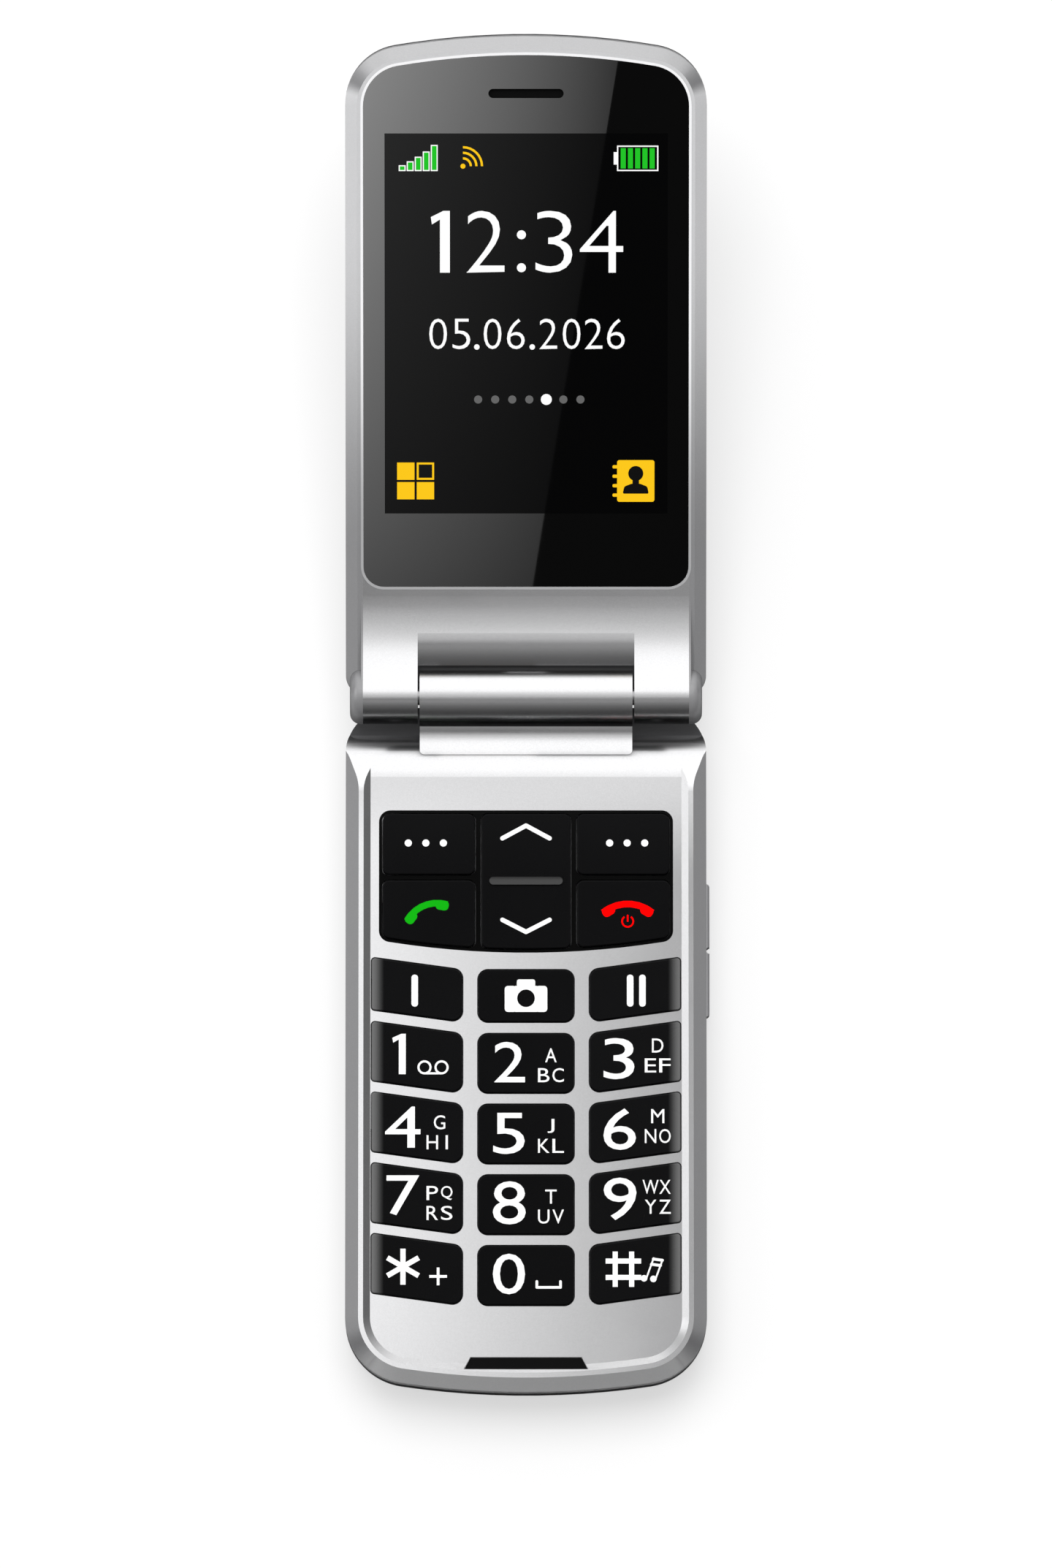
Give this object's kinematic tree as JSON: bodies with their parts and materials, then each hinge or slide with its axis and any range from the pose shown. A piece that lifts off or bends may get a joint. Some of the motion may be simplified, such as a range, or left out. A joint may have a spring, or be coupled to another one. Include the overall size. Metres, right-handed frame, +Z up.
{
  "type": "flip phone",
  "caption": "Flip phone lying open on its back: keypad base and raised lid with display, joined by a barrel hinge, with keys, rockers and battery cover that move.",
  "frame": {"origin": "bottom centre of the bounding box, on the surface the base lies on", "axes": "+Z up out of the keypad, +Y from the base towards the lid, +X to the right of the keypad"},
  "size_m": [0.0556, 0.2057, 0.0365],
  "materials": {
    "silver_casing": "silver painted plastic, satin gloss",
    "graphite_casing": "dark graphite plastic with a fine texture",
    "key_black": "black keys with white characters",
    "silicone": "translucent grey silicone",
    "dome_metal": "stainless domes on a film",
    "circuit_board": "green circuit board",
    "battery_wrap": "battery in a printed wrap",
    "contact_gold": "gold plated contacts",
    "component_black": "black moulded components",
    "steel": "bare steel",
    "flex": "amber flexible circuit",
    "screen_glass": "clear window with a black border",
    "display": "liquid crystal display",
    "ring_metal": "polished ring",
    "torch_plastic": "frosted clear lens"
  },
  "bodies": {
    "base": {"front_housing": "silver_casing", "rear_housing": "graphite_casing", "nav_bezel": "key_black", "key_mat": "silicone", "dome_sheet": "dome_metal", "main_board": "circuit_board", "shield_cans": "dome_metal", "battery": "battery_wrap", "battery_contacts": "contact_gold", "loudspeaker": "component_black", "vibration_motor": "component_black", "sim_reader": "steel", "microphone": "component_black", "antenna": "contact_gold", "usb_port": "steel", "case_screws": "steel", "volume_switches": "component_black", "charging_pads": "contact_gold", "finger_notch_pad": "key_black", "hinge_barrel": "silver_casing", "hinge_cartridge": "steel", "hinge_pin": "steel", "hinge_flex": "flex"},
    "lid": {"lid_front": "silver_casing", "lid_cover": "graphite_casing", "display_window": "screen_glass", "earpiece_grille": "steel", "earpiece": "component_black", "display_module": "display", "lid_board": "circuit_board", "lid_screws": "steel", "lid_magnet": "steel", "outer_window": "screen_glass", "outer_display": "display", "camera_module": "component_black", "camera_ring": "ring_metal", "camera_lens": "screen_glass", "torch_lens": "torch_plastic"},
    "memory_one_key": {"memory_one_key": "key_black"},
    "camera_key": {"camera_key": "key_black"},
    "memory_two_key": {"memory_two_key": "key_black"},
    "key_1": {"key_1": "key_black"},
    "key_2": {"key_2": "key_black"},
    "key_3": {"key_3": "key_black"},
    "key_4": {"key_4": "key_black"},
    "key_5": {"key_5": "key_black"},
    "key_6": {"key_6": "key_black"},
    "key_7": {"key_7": "key_black"},
    "key_8": {"key_8": "key_black"},
    "key_9": {"key_9": "key_black"},
    "key_star": {"key_star": "key_black"},
    "key_0": {"key_0": "key_black"},
    "key_hash": {"key_hash": "key_black"},
    "soft_left_key": {"soft_left_key": "key_black"},
    "soft_right_key": {"soft_right_key": "key_black"},
    "call_key": {"call_key": "key_black"},
    "end_key": {"end_key": "key_black"},
    "nav_rocker": {"nav_rocker": "key_black"},
    "volume_rocker": {"volume_rocker": "silver_casing"},
    "battery_cover": {"battery_cover": "graphite_casing"}
  },
  "joints": [
    {"name": "lid_hinge", "type": "hinge", "parent": "base", "child": "lid", "pos_m": [0, 0.00383, 0.011], "axis": [1, 0, 0], "range_deg": [0, 165]},
    {"name": "memory_one_key_press", "type": "slide", "parent": "base", "child": "memory_one_key", "axis": [0, 0, -1], "range_m": [0, 0.0003], "stiffness_N_per_m": 5000},
    {"name": "camera_key_press", "type": "slide", "parent": "base", "child": "camera_key", "axis": [0, 0, -1], "range_m": [0, 0.0003], "stiffness_N_per_m": 5000},
    {"name": "memory_two_key_press", "type": "slide", "parent": "base", "child": "memory_two_key", "axis": [0, 0, -1], "range_m": [0, 0.0003], "stiffness_N_per_m": 5000},
    {"name": "key_1_press", "type": "slide", "parent": "base", "child": "key_1", "axis": [0, 0, -1], "range_m": [0, 0.0003], "stiffness_N_per_m": 5000},
    {"name": "key_2_press", "type": "slide", "parent": "base", "child": "key_2", "axis": [0, 0, -1], "range_m": [0, 0.0003], "stiffness_N_per_m": 5000},
    {"name": "key_3_press", "type": "slide", "parent": "base", "child": "key_3", "axis": [0, 0, -1], "range_m": [0, 0.0003], "stiffness_N_per_m": 5000},
    {"name": "key_4_press", "type": "slide", "parent": "base", "child": "key_4", "axis": [0, 0, -1], "range_m": [0, 0.0003], "stiffness_N_per_m": 5000},
    {"name": "key_5_press", "type": "slide", "parent": "base", "child": "key_5", "axis": [0, 0, -1], "range_m": [0, 0.0003], "stiffness_N_per_m": 5000},
    {"name": "key_6_press", "type": "slide", "parent": "base", "child": "key_6", "axis": [0, 0, -1], "range_m": [0, 0.0003], "stiffness_N_per_m": 5000},
    {"name": "key_7_press", "type": "slide", "parent": "base", "child": "key_7", "axis": [0, 0, -1], "range_m": [0, 0.0003], "stiffness_N_per_m": 5000},
    {"name": "key_8_press", "type": "slide", "parent": "base", "child": "key_8", "axis": [0, 0, -1], "range_m": [0, 0.0003], "stiffness_N_per_m": 5000},
    {"name": "key_9_press", "type": "slide", "parent": "base", "child": "key_9", "axis": [0, 0, -1], "range_m": [0, 0.0003], "stiffness_N_per_m": 5000},
    {"name": "key_star_press", "type": "slide", "parent": "base", "child": "key_star", "axis": [0, 0, -1], "range_m": [0, 0.0003], "stiffness_N_per_m": 5000},
    {"name": "key_0_press", "type": "slide", "parent": "base", "child": "key_0", "axis": [0, 0, -1], "range_m": [0, 0.0003], "stiffness_N_per_m": 5000},
    {"name": "key_hash_press", "type": "slide", "parent": "base", "child": "key_hash", "axis": [0, 0, -1], "range_m": [0, 0.0003], "stiffness_N_per_m": 5000},
    {"name": "soft_left_key_press", "type": "slide", "parent": "base", "child": "soft_left_key", "axis": [0, 0, -1], "range_m": [0, 0.0003], "stiffness_N_per_m": 5000},
    {"name": "soft_right_key_press", "type": "slide", "parent": "base", "child": "soft_right_key", "axis": [0, 0, -1], "range_m": [0, 0.0003], "stiffness_N_per_m": 5000},
    {"name": "call_key_press", "type": "slide", "parent": "base", "child": "call_key", "axis": [0, 0, -1], "range_m": [0, 0.0003], "stiffness_N_per_m": 5000},
    {"name": "end_key_press", "type": "slide", "parent": "base", "child": "end_key", "axis": [0, 0, -1], "range_m": [0, 0.0003], "stiffness_N_per_m": 5000},
    {"name": "nav_rocker_tip", "type": "hinge", "parent": "base", "child": "nav_rocker", "pos_m": [0, -0.02447, 0.00865], "axis": [1, 0, 0], "range_deg": [-1.5, 1.5], "stiffness_Nm_per_rad": 0.3},
    {"name": "volume_rocker_tip", "type": "hinge", "parent": "base", "child": "volume_rocker", "pos_m": [0.02595, -0.03447, 0.0037], "axis": [0, 0, 1], "range_deg": [-1.5, 1.5], "stiffness_Nm_per_rad": 0.3},
    {"name": "battery_cover_slide", "type": "slide", "parent": "base", "child": "battery_cover", "axis": [0, -1, 0], "range_m": [0, 0.012]}
  ]
}
